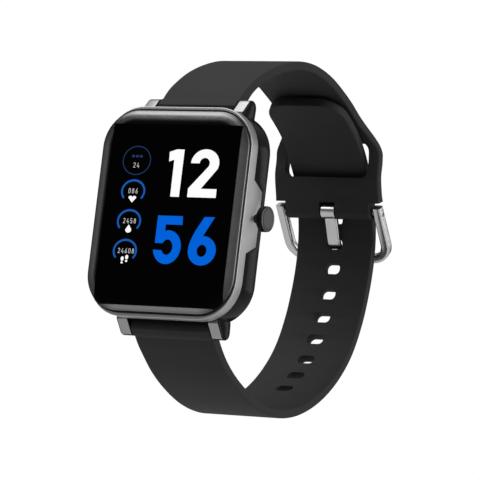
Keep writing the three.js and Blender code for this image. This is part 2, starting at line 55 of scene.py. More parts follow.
frame_low, frame_high = node_box("bezel_frame")
CASE_WIDTH = frame_high.x - frame_low.x
CASE_HEIGHT = frame_high.z - frame_low.z
SEAM = 0.17
FRAME_FRONT = frame_low.y + SEAM
GUARD_BACK = frame_high.y
CASE_CORNER = 9.0
CASE_SPLIT = -6.8
INNER = (33.2, 40.6, 6.4)
STRAP_WALL = 22.2
STRAP_RIM = -4.4
GUARD_HALF = 6.0
GUARD_SLOPE = 2.0
GUARD_SKIN = 0.8

glass_low, glass_high = node_box("cover_glass")
GLASS_WIDTH = glass_high.x - glass_low.x
GLASS_HEIGHT = glass_high.z - glass_low.z
GLASS_FRONT = glass_low.y
GLASS_BACK = glass_high.y - SEAM
GLASS_CURVE = 2.6
GLASS_CORNER = 8.2
DISPLAY_X = (-15.9, 16.6)
DISPLAY_Z = (-20.9, 19.0)

crown_low, crown_high = node_box("crown_knob")
CROWN_FACE = crown_high.x
CROWN_RADIUS = (crown_high.z - crown_low.z) / 2
CROWN_CENTRE = ((crown_high.y + crown_low.y) / 2, 0)
CROWN_THICK = 2.2
STEM_RADIUS = 0.7
STEM_HOLE = 1.0
SEAL_BORE = 1.45

BAND_WIDTH = 20.0
BAND_THICK = 2.1
BAR = (-1.9, 24.6)
ROOT_RADIUS = 1.95
ROOT_REACH = 2.25
LUG_INNER = 10.2
LUG_THICK = 2.9
LUG_RADIUS = 1.75
LUG_BORE = 0.75
BAR_BORE = 1.25
STRAP_EDGE = 0.45
FLARE_WIDTH = 27.6
END_WIDTH = 22.6
HINGE = (60.5, 13.0)
HINGE_RADIUS = 0.75
HOLE_PITCH = 6.1
TONGUE_HOLE = (65.3, 6.1)

SHORT_LINE = [
    BAR, (1, 28.6), (6, 32.7), (13, 36.4), (20.5, 39), (28, 40), (35.6, 39.3),
    (42.6, 37.2), (48.7, 34.6), (53.5, 31.7), (56.4, 28), (57.3, 24.4), (57.4, 21),
    (58.7, 17), HINGE,
]
LONG_LINE = [
    (BAR[0], -BAR[1]), (1.2, -27.9), (6.7, -32.1), (13.3, -35.3), (20.7, -37.5),
    (28.5, -38.2), (36.1, -37.2), (43.2, -34.7), (49.5, -31.1), (55.2, -26.3), (59.9, -20.3),
    (63.1, -12.9), (64.9, -5), (65.5, 1.5), (65.2, 7), (64, 12.2), (62.4, 16.5), (60.5, 20),
    (57.7, 23.4), (55.1, 26.3), (51.6, 29.3), (47.2, 31.9), (42, 34.3), (40.2, 34.9),
]

# ---------------------------------------------------------------- camera, light and floor

CAMERA_AZIMUTH = 30.84
CAMERA_ELEVATION = -7.68
CAMERA_ROLL = 6.7
CAMERA_DISTANCE = 0.7732
CAMERA_LENS = 259.8
CAMERA_TARGET = Vector((0.0007, 0.020, -0.0009))


def add_camera():
    azimuth = radians(CAMERA_AZIMUTH)
    elevation = radians(CAMERA_ELEVATION)
    roll = radians(CAMERA_ROLL)
    back = Vector((sin(azimuth) * cos(elevation), -cos(azimuth) * cos(elevation), sin(elevation)))
    level = Vector((cos(azimuth), sin(azimuth), 0))
    upright = back.cross(level)
    right = level * cos(roll) + upright * sin(roll)
    up = upright * cos(roll) - level * sin(roll)
    camera = bpy.data.objects.new("camera", bpy.data.cameras.new("camera"))
    camera.data.lens = CAMERA_LENS
    camera.data.sensor_width = 36
    camera.data.clip_end = 20
    turn = Matrix((right, up, back)).transposed().to_4x4()
    camera.matrix_world = Matrix.Translation(CAMERA_TARGET + back * CAMERA_DISTANCE) @ turn
    scene.collection.objects.link(camera)
    scene.camera = camera


def add_softbox(name, place, size, power, target=(0, 0.02, 0)):
    light = bpy.data.lights.new(name, "AREA")
    light.shape = "RECTANGLE"
    light.size = size[0]
    light.size_y = size[1]
    light.energy = power
    lamp = bpy.data.objects.new(name, light)
    lamp.location = place
    lamp.rotation_euler = (Vector(place) - Vector(target)).to_track_quat("Z", "Y").to_euler()
    scene.collection.objects.link(lamp)


def add_world():
    """A studio that is dim at the horizon, brighter to the right and bright overhead."""
    world = bpy.data.worlds.new("studio")
    world.use_nodes = True
    nodes = world.node_tree.nodes
    links = world.node_tree.links
    coordinates = nodes.new("ShaderNodeTexCoord")
    split = nodes.new("ShaderNodeSeparateXYZ")
    links.new(coordinates.outputs["Generated"], split.inputs["Vector"])
    height = nodes.new("ShaderNodeMapRange")
    height.inputs["From Min"].default_value = -1.0
    links.new(split.outputs["Z"], height.inputs["Value"])
    ramp = nodes.new("ShaderNodeValToRGB")
    ramp.color_ramp.elements[0].position = 0.5
    ramp.color_ramp.elements[0].color = (0.13, 0.13, 0.13, 1)
    ramp.color_ramp.elements[1].position = 0.95
    ramp.color_ramp.elements[1].color = (0.5, 0.5, 0.5, 1)
    dusk = ramp.color_ramp.elements.new(0.72)
    dusk.color = (0.08, 0.08, 0.08, 1)
    links.new(height.outputs["Result"], ramp.inputs["Fac"])
    side = nodes.new("ShaderNodeMapRange")
    side.inputs["To Max"].default_value = 0.24
    links.new(split.outputs["X"], side.inputs["Value"])
    total = nodes.new("ShaderNodeVectorMath")
    total.operation = "ADD"
    links.new(ramp.outputs["Color"], total.inputs[0])
    links.new(side.outputs["Result"], total.inputs[1])
    links.new(total.outputs["Vector"], nodes["Background"].inputs["Color"])
    scene.world = world


def add_backdrop():
    """A white dome round the studio. Only the camera sees it, so it lights nothing."""
    bm = bmesh.new()
    bmesh.ops.create_uvsphere(bm, u_segments=48, v_segments=24, radius=8)
    mesh = bpy.data.meshes.new("backdrop")
    bm.to_mesh(mesh)
    bm.free()
    dome = bpy.data.objects.new("backdrop", mesh)
    dome.visible_diffuse = False
    dome.visible_glossy = False
    dome.visible_transmission = False
    dome.visible_shadow = False
    scene.collection.objects.link(dome)
    material = bpy.data.materials.new("backdrop")
    material.use_nodes = True
    shader = material.node_tree.nodes["Principled BSDF"]
    shader.inputs["Base Color"].default_value = (0, 0, 0, 1)
    shader.inputs["Emission Color"].default_value = (1, 1, 1, 1)
    shader.inputs["Emission Strength"].default_value = 1.0
    mesh.materials.append(material)


def add_floor():
    mesh = bpy.data.meshes.new("floor")
    reach = 7.0
    depth = -0.4
    mesh.from_pydata([(-reach, -reach, depth), (reach, -reach, depth), (reach, reach, depth),
                      (-reach, reach, depth)], [], [(0, 1, 2, 3)])
    floor = bpy.data.objects.new("floor", mesh)
    scene.collection.objects.link(floor)
    material = bpy.data.materials.new("floor")
    material.use_nodes = True
    shader = material.node_tree.nodes["Principled BSDF"]
    shader.inputs["Base Color"].default_value = (0.75, 0.75, 0.75, 1)
    shader.inputs["Roughness"].default_value = 0.9
    shader.inputs["Specular IOR Level"].default_value = 0.1
    mesh.materials.append(material)


# ---------------------------------------------------------------- materials


def finish(name, color, rough, grain, metal=0.0, specular=0.5, coat=0.0, coat_rough=0.1,
           tint=0.0, rough_spread=0.0, stretch=(1, 1, 1), bump=0.0, emission=0.0):
    """A material whose colour and roughness wander a little and whose surface has a fine grain.

    grain is the size of the grain in millimetres, and stretch below 1 draws it out along an axis.
    A material with emission is black apart from the light that it gives off."""
    material = bpy.data.materials.new(name)
    material.use_nodes = True
    nodes = material.node_tree.nodes
    links = material.node_tree.links
    shader = nodes["Principled BSDF"]
    shader.inputs["Base Color"].default_value = (0, 0, 0, 1) if emission else (*color, 1)
    shader.inputs["Roughness"].default_value = rough
    shader.inputs["Metallic"].default_value = metal
    shader.inputs["Specular IOR Level"].default_value = specular
    shader.inputs["Coat Weight"].default_value = coat
    shader.inputs["Coat Roughness"].default_value = coat_rough
    if emission:
        shader.inputs["Emission Color"].default_value = (*color, 1)
        shader.inputs["Emission Strength"].default_value = emission
    coordinates = nodes.new("ShaderNodeTexCoord")
    mapping = nodes.new("ShaderNodeMapping")
    mapping.inputs["Scale"].default_value = [s / (grain * MM) for s in stretch]
    links.new(coordinates.outputs["Object"], mapping.inputs["Vector"])
    fine = nodes.new("ShaderNodeTexNoise")
    fine.inputs["Scale"].default_value = 1.0
    fine.inputs["Detail"].default_value = 4.0
    links.new(mapping.outputs["Vector"], fine.inputs["Vector"])
    if tint:
        broad = nodes.new("ShaderNodeTexNoise")
        broad.inputs["Scale"].default_value = 120.0
        broad.inputs["Detail"].default_value = 3.0
        links.new(coordinates.outputs["Object"], broad.inputs["Vector"])
        ramp = nodes.new("ShaderNodeValToRGB")
        ramp.color_ramp.elements[0].position = 0.3
        ramp.color_ramp.elements[1].position = 0.7
        ramp.color_ramp.elements[0].color = (*[c * (1 - tint) for c in color], 1)
        ramp.color_ramp.elements[1].color = (*[min(1, c * (1 + tint)) for c in color], 1)
        links.new(broad.outputs["Fac"], ramp.inputs["Fac"])
        target = "Emission Color" if emission else "Base Color"
        links.new(ramp.outputs["Color"], shader.inputs[target])
    if rough_spread:
        spread = nodes.new("ShaderNodeMapRange")
        spread.inputs["From Min"].default_value = 0.3
        spread.inputs["From Max"].default_value = 0.7
        spread.inputs["To Min"].default_value = rough - rough_spread
        spread.inputs["To Max"].default_value = rough + rough_spread
        links.new(fine.outputs["Fac"], spread.inputs["Value"])
        links.new(spread.outputs["Result"], shader.inputs["Roughness"])
    if bump:
        relief = nodes.new("ShaderNodeBump")
        relief.inputs["Strength"].default_value = 1.0
        relief.inputs["Distance"].default_value = bump * MM
        links.new(fine.outputs["Fac"], relief.inputs["Height"])
        links.new(relief.outputs["Normal"], shader.inputs["Normal"])
    return material


# Painted shade: the glass border's colour is dimmed towards its corners inside these ranges of x
# and z, down to the factor below.
PAINTED_SHADE_CORNERS = (("X", 10.5, 16), ("Z", 13.5, 20))
PAINTED_SHADE_DIMMING = 0.12


def paint_border_reflection_and_shade(material, stops):
    """Paints a reflection into a material's colour by its depth behind the glass front, with
    painted shade towards the corners.

    stops holds (millimetres, colour)."""
    nodes = material.node_tree.nodes
    links = material.node_tree.links
    coordinates = nodes.new("ShaderNodeTexCoord")
    split = nodes.new("ShaderNodeSeparateXYZ")
    links.new(coordinates.outputs["Object"], split.inputs["Vector"])
    depth = nodes.new("ShaderNodeMapRange")
    depth.inputs["From Min"].default_value = GLASS_FRONT * MM
    depth.inputs["From Max"].default_value = GLASS_BACK * MM
    links.new(split.outputs["Y"], depth.inputs["Value"])
    # Painted reflection: this ramp makes the border brightest just behind the flat front, where a
    # highlight falls.
    ramp = nodes.new("ShaderNodeValToRGB")
    elements = ramp.color_ramp.elements
    elements.remove(elements[1])
    for i, (place, value) in enumerate(stops):
        place /= GLASS_BACK - GLASS_FRONT
        element = elements[0] if i == 0 else elements.new(place)
        element.position = place
        element.color = (value, value, value, 1)
    links.new(depth.outputs["Result"], ramp.inputs["Fac"])
    near = []
    for axis, start, end in PAINTED_SHADE_CORNERS:
        reach = nodes.new("ShaderNodeMath")
        reach.operation = "ABSOLUTE"
        links.new(split.outputs[axis], reach.inputs[0])
        part = nodes.new("ShaderNodeMapRange")
        part.inputs["From Min"].default_value = start * MM
        part.inputs["From Max"].default_value = end * MM
        links.new(reach.outputs["Value"], part.inputs["Value"])
        near.append(part.outputs["Result"])
    corner = nodes.new("ShaderNodeMath")
    corner.operation = "MULTIPLY"
    links.new(near[0], corner.inputs[0])
    links.new(near[1], corner.inputs[1])
    # Painted shade: the border's colour is scaled down towards the corners.
    light = nodes.new("ShaderNodeMapRange")
    light.inputs["To Min"].default_value = 1.0
    light.inputs["To Max"].default_value = PAINTED_SHADE_DIMMING
    links.new(corner.outputs["Value"], light.inputs["Value"])
    shaded = nodes.new("ShaderNodeVectorMath")
    shaded.operation = "SCALE"
    links.new(ramp.outputs["Color"], shaded.inputs[0])
    links.new(light.outputs["Result"], shaded.inputs["Scale"])
    links.new(shaded.outputs["Vector"], nodes["Principled BSDF"].inputs["Base Color"])


SILICONE = finish("silicone", (0.029, 0.029, 0.031), 0.6, specular=0.2, grain=0.12, tint=0.06,
                  rough_spread=0.05, bump=0.004)
FRAME_METAL = finish("frame_metal", (0.55, 0.55, 0.56), 0.4, metal=1.0, grain=0.1, tint=0.03,
                     rough_spread=0.02, stretch=(1, 1, 0.06), bump=0.0002)
# The dark case finish. It is also put on the sides of the lugs and of the crown button as painted
# shade.
CASE_DARK_AND_SIDE_SHADE = finish("case_dark_and_side_shade", (0.007, 0.007, 0.0075), 0.14, specular=0.13, grain=0.6, tint=0.04,
                   rough_spread=0.03)
LUG_METAL = finish("lug_metal", (0.42, 0.42, 0.43), 0.34, metal=1.0, grain=0.2, tint=0.04,
                   rough_spread=0.03, stretch=(0.1, 1, 1), bump=0.0003)
CROWN_METAL = finish("crown_metal", (0.12, 0.12, 0.125), 0.32, metal=1.0, grain=0.2, tint=0.05,
                     rough_spread=0.05, bump=0.0008)
BUCKLE_STEEL = finish("buckle_steel", (0.74, 0.74, 0.75), 0.24, metal=1.0, grain=0.16, tint=0.03,
                      rough_spread=0.03, stretch=(1, 0.12, 0.12), bump=0.0003)
STEEL = finish("plain_steel", (0.55, 0.55, 0.56), 0.3, metal=1.0, grain=0.2, tint=0.05,
               rough_spread=0.05)
GLASS_FLAT = finish("glass_flat", (0.0012, 0.0012, 0.0014), 0.12, specular=0.03, grain=2.0,
                    rough_spread=0.02)
GLASS_EDGE_PAINTED_REFLECTION = finish("glass_edge_painted_reflection", (0.3, 0.3, 0.3), 0.26, metal=1.0, specular=0.5, grain=2.0,
                    rough_spread=0.02)
# Painted reflection: the border's colour is bright just behind the flat front and dimmer further
# back.
paint_border_reflection_and_shade(GLASS_EDGE_PAINTED_REFLECTION, [(0.0, 0.02), (0.01, 0.1), (0.04, 0.46), (0.15, 0.42), (0.4, 0.22),
                           (0.8, 0.24)])
RUBBER = finish("seal_rubber", (0.008, 0.008, 0.008), 0.7, grain=0.2, bump=0.002, specular=0.2)
PLASTIC = finish("black_plastic", (0.018, 0.018, 0.019), 0.42, grain=0.08, tint=0.06,
                 rough_spread=0.06, bump=0.004)
SENSOR_GLASS = finish("sensor_glass", (0.01, 0.011, 0.016), 0.05, specular=0.6, coat=0.6,
                      coat_rough=0.03, grain=1.5, rough_spread=0.01)
GOLD = finish("gold_plating", (0.78, 0.56, 0.22), 0.25, metal=1.0, grain=0.1, tint=0.04,
              rough_spread=0.05)
BOARD = finish("board", (0.02, 0.09, 0.045), 0.4, grain=0.3, tint=0.2, rough_spread=0.1)
CHIP = finish("chip", (0.02, 0.02, 0.022), 0.5, grain=0.1, tint=0.1, rough_spread=0.1)
FOIL = finish("foil", (0.5, 0.51, 0.53), 0.35, metal=0.9, grain=0.5, tint=0.08, rough_spread=0.1,
              bump=0.004)
FLEX = finish("flex_film", (0.45, 0.2, 0.04), 0.4, grain=0.4, tint=0.1, rough_spread=0.05)
DIFFUSER = finish("diffuser", (0.8, 0.8, 0.81), 0.5, grain=0.4, tint=0.02, rough_spread=0.05)
PANEL = finish("panel", (0.012, 0.013, 0.02), 0.2, grain=0.4, tint=0.1, rough_spread=0.04)
INK_WHITE = finish("lit_white", (0.98, 0.98, 0.98), 0.4, specular=0.02, emission=1.0, grain=0.1,
                   tint=0.02)
INK_GREY = finish("lit_grey", (0.6, 0.6, 0.62), 0.4, specular=0.02, emission=1.0, grain=0.1,
                  tint=0.02)
INK_BLUE = finish("lit_blue", (0.0, 0.12, 0.68), 0.4, specular=0.02, emission=1.0, grain=0.1,
                  tint=0.02)
INK_ARC = finish("lit_arc_blue", (0.01, 0.1, 0.42), 0.4, specular=0.02, emission=1.0, grain=0.1,
                 tint=0.02)
INK_DIM = finish("lit_dim_blue", (0.015, 0.04, 0.12), 0.4, specular=0.02, emission=1.0, grain=0.1,
                 tint=0.02)

CAD_FINISH = {
    RUBBER: ["glass_gasket", "back_seal", "crown_seal"],
    PANEL: ["touch_sensor", "display_panel"],
    DIFFUSER: ["backlight_unit"],
    FLEX: ["display_flex"],
    PLASTIC: ["inner_chassis", "switch_plunger"],
    BOARD: ["main_board", "sensor_board"],
    CHIP: ["processor", "tact_switch", "optical_sensor"],
    FOIL: ["shield_can", "battery"],
    STEEL: ["vibration_motor", "charge_magnet_left", "charge_magnet_right", "crown_clip",
            "top_spring_bar", "top_bar_spring", "top_release_tip", "bottom_spring_bar",
            "bottom_bar_spring", "bottom_release_tip", "case_screw_1", "case_screw_2",
            "case_screw_3", "case_screw_4"],
    GOLD: ["charge_contact_left", "charge_contact_right"],
    BUCKLE_STEEL: ["buckle_pin"],
}


def finish_cad_nodes():
    for material, names in CAD_FINISH.items():
        for name in names:
            slots = NODES[name].data.materials
            slots.clear()
            slots.append(material)


# ---------------------------------------------------------------- mesh helpers


SHARP = 32


def link_piece(name, mesh, body, materials, sharp=SHARP):
    for material in materials:
        mesh.materials.append(material)
    mesh.polygons.foreach_set("use_smooth", [True] * len(mesh.polygons))
    mesh.set_sharp_from_angle(angle=radians(sharp))
    piece = bpy.data.objects.new(name, mesh)
    scene.collection.objects.link(piece)
    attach(piece, body)
    return piece


def mesh_of(name, verts, faces):
    mesh = bpy.data.meshes.new(name)
    mesh.from_pydata([tuple(c * MM for c in v) for v in verts], [], faces)
    mesh.validate()
    bm = bmesh.new()
    bm.from_mesh(mesh)
    bmesh.ops.remove_doubles(bm, verts=bm.verts, dist=1e-7)
    bmesh.ops.recalc_face_normals(bm, faces=bm.faces)
    bm.to_mesh(mesh)
    bm.free()
    return mesh


def loft(name, rings, loop=False):
    """Joins rings of points with quads. The first and last ring are filled, or joined by loop."""
    count = len(rings[0])
    verts = [v for ring in rings for v in ring]
    faces = []
    spans = len(rings) if loop else len(rings) - 1
    for i in range(spans):
        near = i * count
        far = ((i + 1) % len(rings)) * count
        for j in range(count):
            k = (j + 1) % count
            faces.append((near + j, near + k, far + k, far + j))
    if not loop:
        faces.append(tuple(range(count)))
        faces.append(tuple(range(len(verts) - 1, len(verts) - 1 - count, -1)))
    return mesh_of(name, verts, faces)


def rounded_outline(width, height, radius, steps=14):
    """Points and outward directions round a rectangle with round corners, from the right."""
    points = []
    for i, (sx, sz) in enumerate([(1, 1), (-1, 1), (-1, -1), (1, -1)]):
        for k in range(steps + 1):
            angle = (i + k / steps) * pi / 2
            out = (cos(angle), sin(angle))
            centre = (sx * (width / 2 - radius), sz * (height / 2 - radius))
            points.append(((centre[0] + radius * out[0], centre[1] + radius * out[1]), out))
    return points


def plate(name, width, height, radius, profile):
    """A rounded rectangular plate. profile holds (inset, depth) from one face to the other."""
    outline = rounded_outline(width, height, radius)
    rings = [[(p[0] - n[0] * inset, depth, p[1] - n[1] * inset) for p, n in outline]
             for inset, depth in profile]
    return loft(name, rings)


def turned(name, profile, centre, axis="x", sides=64):
    """A turned piece. profile is a list of (radius, place along the axis)."""
    rings = []
    for radius, along in profile:
        ring = []
        for k in range(sides):
            angle = 2 * pi * k / sides
            a = radius * cos(angle)
            b = radius * sin(angle)
            if axis == "x":
                ring.append((along, centre[0] + a, centre[1] + b))
            else:
                ring.append((centre[0] + a, along, centre[1] + b))
        rings.append(ring)
    return loft(name, rings)


def round_corner(inset, depth, size, steps=4, into=1):
    """Points of a rounded edge in a (inset, depth) profile, from the face to the side."""
    points = []
    for k in range(steps + 1):
        angle = k / steps * pi / 2
        points.append((inset + size * (1 - sin(angle)), depth + into * size * (1 - cos(angle))))
    return points


def carve(piece, cutters, width=0.0, segments=2):
    """Cuts the cutters out of a piece, rounds the new edges and applies both."""
    for tool in cutters:
        modifier = piece.modifiers.new("cut", "BOOLEAN")
        modifier.operation = "DIFFERENCE"
        modifier.solver = "EXACT"
        modifier.object = tool
    if width:
        bevel = piece.modifiers.new("edge", "BEVEL")
        bevel.width = width * MM
        bevel.segments = segments
        bevel.limit_method = "ANGLE"
        bevel.angle_limit = radians(50)
    graph = bpy.context.evaluated_depsgraph_get()
    result = bpy.data.meshes.new_from_object(piece.evaluated_get(graph))
    piece.modifiers.clear()
    old = piece.data
    piece.data = result
    bpy.data.meshes.remove(old)
    for tool in cutters:
        bpy.data.objects.remove(tool)
    result.polygons.foreach_set("use_smooth", [True] * len(result.polygons))
    result.set_sharp_from_angle(angle=radians(SHARP))


def cutter(mesh):
    piece = bpy.data.objects.new("cutter", mesh)
    scene.collection.objects.link(piece)
    return piece


def box_cutter(x0, x1, y0, y1, z0, z1):
    ring = [(x0, z0), (x1, z0), (x1, z1), (x0, z1)]
    return cutter(loft("cutter", [[(x, y, z) for x, z in ring] for y in (y0, y1)]))


# ---------------------------------------------------------------- display glass


def build_glass():
    """Glass with a rounded border. The lit area is dead black, the border round it is glossy, with
    a painted reflection in its colour that is dimmed by painted shade at the corners.
    """
    thick = GLASS_BACK - GLASS_FRONT
    edge = 0.15
    profile = [(0, GLASS_BACK), (0, GLASS_BACK - edge)]
    steps = 14
    for k in range(1, steps + 1):
        angle = k / steps * pi / 2
        inset = GLASS_CURVE * (1 - cos(angle))
        profile.append((inset, GLASS_BACK - edge - (thick - edge) * sin(angle)))
    mesh = plate("display_glass", GLASS_WIDTH, GLASS_HEIGHT, GLASS_CORNER, profile)
    bm = bmesh.new()
    bm.from_mesh(mesh)
    for axis, places in ((Vector((1, 0, 0)), DISPLAY_X), (Vector((0, 0, 1)), DISPLAY_Z)):
        for place in places:
            bmesh.ops.bisect_plane(bm, geom=bm.verts[:] + bm.edges[:] + bm.faces[:],
                                   plane_co=axis * place * MM, plane_no=axis)
    for face in bm.faces:
        spot = face.calc_center_median() / MM
        lit = DISPLAY_X[0] < spot.x < DISPLAY_X[1] and DISPLAY_Z[0] < spot.z < DISPLAY_Z[1]
        face.material_index = 1 if lit and spot.y < GLASS_BACK - edge else 0
    bm.to_mesh(mesh)
    bm.free()
    glass = link_piece("display_glass", mesh, "case", [GLASS_EDGE_PAINTED_REFLECTION, GLASS_FLAT], sharp=60)
    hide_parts("cover_glass")
    low, high = node_box("glass_gasket")
    low.y -= SEAM
    high.y += SEAM
    profile = [(0.12, high.y), (0, high.y - 0.06), (0, low.y + 0.06), (0.12, low.y)]
    mesh = plate("glass_seal", high.x - low.x, high.z - low.z, GLASS_CORNER + 0.3, profile)
    seal = link_piece("glass_seal", mesh, "case", [RUBBER])
    carve(seal, [box_cutter(-15.4, 15.4, low.y - 1, high.y + 1, -19.2, 19.2)])
    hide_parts("glass_gasket")


# ---------------------------------------------------------------- case


def guard_reach(x, z, plain, deep, grow=0.0):
    """How far back an edge reaches at a point of the outline: further around the crown."""
    if x < CASE_WIDTH / 2 - 1:
        return plain
    inner = GUARD_HALF + grow
    outer = inner + GUARD_SLOPE
    share = min(1, max(0, (outer - abs(z)) / (outer - inner)))
    return plain + (deep - plain) * share


def case_outline(width, height, radius, grow=0.0):
    """The case outline with extra points where the part around the crown begins and ends."""
    points = rounded_outline(width, height, radius, steps=16)
    half = GUARD_HALF + grow
    knees = [-half - GUARD_SLOPE, -half, half, half + GUARD_SLOPE]
    return [((width / 2, z), (1, 0)) for z in knees] + points


def ring_piece(name, outline, inner, section):
    """A ring between two outlines. section(x, z) gives the (inset, depth) points of its outside."""
    rings = []
    for (p, n), (q, _) in zip(outline, inner):
        side = section(p[0], p[1])
        ring = [(p[0] - n[0] * inset, depth, p[1] - n[1] * inset) for inset, depth in side]
        rings.append([(q[0], side[0][1], q[1])] + ring + [(q[0], side[-1][1], q[1])])
    return loft(name, rings, loop=True)


def build_frame():
    def section(x, z):
        back = guard_reach(x, z, CASE_SPLIT - 0.05, GUARD_BACK)
        front = round_corner(0, FRAME_FRONT, 0.18, into=1)
        rear = round_corner(0, back, 0.1, steps=3, into=-1)
        return front + rear[::-1]

    outline = case_outline(CASE_WIDTH, CASE_HEIGHT, CASE_CORNER)
    mesh = ring_piece("metal_frame", outline, case_outline(*INNER), section)
    piece = link_piece("metal_frame", mesh, "case", [FRAME_METAL])
    guard = GUARD_HALF + GUARD_SLOPE + 1
    pocket = box_cutter(INNER[0] / 2 - 1, CASE_WIDTH / 2 - GUARD_SKIN, CASE_SPLIT - 0.05, 0,
                        -guard, guard)
    hole = cutter(turned("cutter", [(STEM_HOLE, 15), (STEM_HOLE, 22)], CROWN_CENTRE))
    carve(piece, [pocket, hole])
    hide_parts("bezel_frame")


def build_lower_case():
    back = node_box("lower_case")[1].y

    def section(x, z):
        front = guard_reach(x, z, CASE_SPLIT, GUARD_BACK + 0.1, grow=0.1)
        head = round_corner(0, front, 0.2, steps=3, into=1)
        tail = [(0, back - 1.5), (0.1, back - 1.1), (0.55, back - 0.25), (0.75, back - 0.08),
                (0.95, back)]
        return head + tail

    outline = case_outline(CASE_WIDTH - 0.2, CASE_HEIGHT - 0.2, CASE_CORNER - 0.1, grow=0.1)
    mesh = ring_piece("lower_case_shell", outline, case_outline(*INNER, grow=0.1), section)
    shell = link_piece("lower_case_shell", mesh, "case", [CASE_DARK_AND_SIDE_SHADE])
    cutters = [cutter(turned("cutter", [(SEAL_BORE, 15), (SEAL_BORE, 22)], CROWN_CENTRE))]
    for end in (-1, 1):
        near, far = sorted((end * STRAP_WALL, end * (STRAP_WALL + 3)))
        cutters.append(box_cutter(-LUG_INNER, LUG_INNER, STRAP_RIM, 1, near, far))
    carve(shell, cutters)
    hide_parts("lower_case")
    for side in (-1, 1):
        for end in (-1, 1):
            build_lug(side, end)


def lug_outline(end):
    """Side view of a lug: sloping front, round end and straight back, as (y, z) points."""
    points = [(-5.4, 21.4), (-5.4, 23.2)]
    for k in range(21):
        angle = radians(145 - k * 145 / 20)
        points.append((BAR[0] + LUG_RADIUS * cos(angle), BAR[1] + LUG_RADIUS * sin(angle)))
    points += [(-0.3, 22.4), (-0.9, 21.4)]
    return [(y, end * z) for y, z in points]


def build_lug(side, end):
    inner = LUG_INNER
    outer = inner + LUG_THICK
    centre = (-2.4, end * 23.6)
    rings = []
    for x, shrink in ((inner, 0.12), (inner + 0.12, 0), (outer - 0.35, 0), (outer - 0.1, 0.1),
                      (outer, 0.35)):
        ring = []
        for y, z in lug_outline(end):
            reach = hypot(y - centre[0], z - centre[1])
            share = 1 - shrink / reach
            ring.append((side * x, centre[0] + (y - centre[0]) * share,
                         centre[1] + (z - centre[1]) * share))
        rings.append(ring)
    name = f"lug_{'top' if end > 0 else 'bottom'}_{'right' if side > 0 else 'left'}"
    mesh = loft(name, rings)
    lug = link_piece(name, mesh, "case", [CASE_DARK_AND_SIDE_SHADE, LUG_METAL])
    # Painted shade: only the forward-facing faces take the lug metal. The lug's sides take the dark
    # case finish so that they read as in shade.
    for face in mesh.polygons:
        if abs(face.normal.x) < 0.3 and face.normal.y < -0.4:
            face.material_index = 1
    depths = (side * (inner - 1), side * (inner + 1.8))
    place = (BAR[0], end * BAR[1])
    hole = cutter(turned("cutter", [(LUG_BORE, x) for x in depths], place, sides=32))
    carve(lug, [hole])


# ---------------------------------------------------------------- crown


def build_crown():
    """A flat button with a fine grip round its rim, on a stem."""
    face = CROWN_FACE
    back = face - CROWN_THICK
    rings = []
    teeth = 48
    around = teeth * 4
    collar = back + 0.6
    for inset, along, depth in ((1.4, back, 0), (1.0, back, 0), (0.9, back + 0.1, 0),
                                (0.9, collar, 0), (0.25, collar, 0), (0.06, collar + 0.1, 0.3),
                                (0, collar + 0.25, 1), (0, face - 0.3, 1), (0.05, face - 0.12, 0.2),
                                (0.2, face - 0.02, 0), (0.3, face, 0), (0.42, face, 0),
                                (0.5, face - 0.05, 0), (1.1, face - 0.05, 0)):
        ring = []
        for k in range(around):
            angle = 2 * pi * k / around
            reach = CROWN_RADIUS - inset - 0.05 * depth * (0.5 - 0.5 * cos(teeth * angle))
            ring.append((along, CROWN_CENTRE[0] + reach * cos(angle), reach * sin(angle)))
        rings.append(ring)
    mesh = loft("crown_button", rings)
    knob = link_piece("crown_button", mesh, "crown", [CROWN_METAL, CASE_DARK_AND_SIDE_SHADE], sharp=45)
    # Painted shade: only the flat face takes the crown metal. The rim and back of the button take
    # the dark case finish so that its side reads as in shade.
    for part in mesh.polygons:
        part.material_index = 0 if part.normal.x > 0.3 else 1
    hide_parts("crown_knob")
    knob.visible_glossy = False
    profile = [(STEM_RADIUS - 0.1, 14.7), (STEM_RADIUS, 14.8), (STEM_RADIUS, back + 0.1)]
    stem = turned("crown_stem", profile, CROWN_CENTRE)
    stem = link_piece("crown_stem", stem, "crown", [CROWN_METAL])


# ---------------------------------------------------------------- back of the case


COVER_BACK = -0.6
WINDOW_RADIUS = 7.0
SCREW_PLACE = (13.3, 16.9)
CONTACT_PLACES = [(-3, -11.4), (3, -11.4)]


